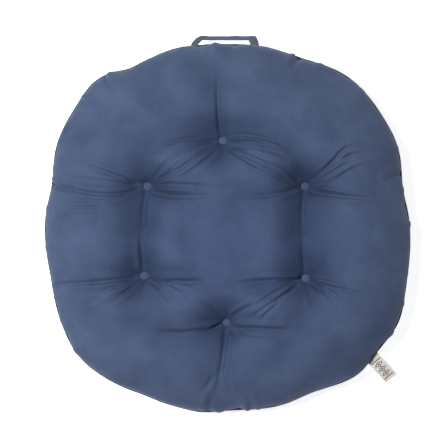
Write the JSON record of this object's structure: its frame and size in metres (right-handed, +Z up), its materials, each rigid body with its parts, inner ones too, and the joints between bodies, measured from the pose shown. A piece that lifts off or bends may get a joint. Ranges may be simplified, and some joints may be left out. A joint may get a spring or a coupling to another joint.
{
  "type": "floor cushion",
  "caption": "Round, button-tufted floor cushion with a knife-edge cover, a carry strap and a woven side label.",
  "frame": {"origin": "centre of the resting face, on the floor", "axes": "+Z up through the seat face; +Y towards the carry strap; +X to the right, with the label between +X and -Y"},
  "size_m": [0.55, 0.5615, 0.12],
  "materials": {
    "cover_cloth": "matte",
    "button_cloth": "matte",
    "strap_cloth": "matte",
    "polyester_fibre": "matte",
    "tufting_twine": "matte",
    "button_metal": "satin",
    "label_cloth": "matte"
  },
  "bodies": {
    "cushion": {"top_panel": "cover_cloth", "bottom_panel": "cover_cloth", "fibre_fill": "polyester_fibre", "seat_button_cloth_1": "button_cloth", "seat_button_shell_1": "button_metal", "seat_button_back_1": "button_metal", "seat_button_cloth_2": "button_cloth", "seat_button_shell_2": "button_metal", "seat_button_back_2": "button_metal", "seat_button_cloth_3": "button_cloth", "seat_button_shell_3": "button_metal", "seat_button_back_3": "button_metal", "seat_button_cloth_4": "button_cloth", "seat_button_shell_4": "button_metal", "seat_button_back_4": "button_metal", "seat_button_cloth_5": "button_cloth", "seat_button_shell_5": "button_metal", "seat_button_back_5": "button_metal", "seat_button_cloth_6": "button_cloth", "seat_button_shell_6": "button_metal", "seat_button_back_6": "button_metal", "base_button_cloth_1": "button_cloth", "base_button_shell_1": "button_metal", "base_button_back_1": "button_metal", "base_button_cloth_2": "button_cloth", "base_button_shell_2": "button_metal", "base_button_back_2": "button_metal", "base_button_cloth_3": "button_cloth", "base_button_shell_3": "button_metal", "base_button_back_3": "button_metal", "base_button_cloth_4": "button_cloth", "base_button_shell_4": "button_metal", "base_button_back_4": "button_metal", "base_button_cloth_5": "button_cloth", "base_button_shell_5": "button_metal", "base_button_back_5": "button_metal", "base_button_cloth_6": "button_cloth", "base_button_shell_6": "button_metal", "base_button_back_6": "button_metal", "tuft_twine_1": "tufting_twine", "tuft_twine_2": "tufting_twine", "tuft_twine_3": "tufting_twine", "tuft_twine_4": "tufting_twine", "tuft_twine_5": "tufting_twine", "tuft_twine_6": "tufting_twine", "strap_root_left": "strap_cloth", "strap_root_right": "strap_cloth", "label_root": "label_cloth"},
    "carry_handle": {"carry_strap": "strap_cloth"},
    "label": {"label_flap": "label_cloth"}
  },
  "joints": [
    {"name": "strap_lift", "type": "hinge", "parent": "cushion", "child": "carry_handle", "pos_m": [0, 0.2748, 0.052], "axis": [1, 0, 0], "range_deg": [0, 120]},
    {"name": "label_bend", "type": "hinge", "parent": "cushion", "child": "label", "pos_m": [0.21803, -0.19632, 0.052], "axis": [-0.7431, -0.6691, 0], "range_deg": [-60, 80], "stiffness_Nm_per_rad": 0.002}
  ]
}
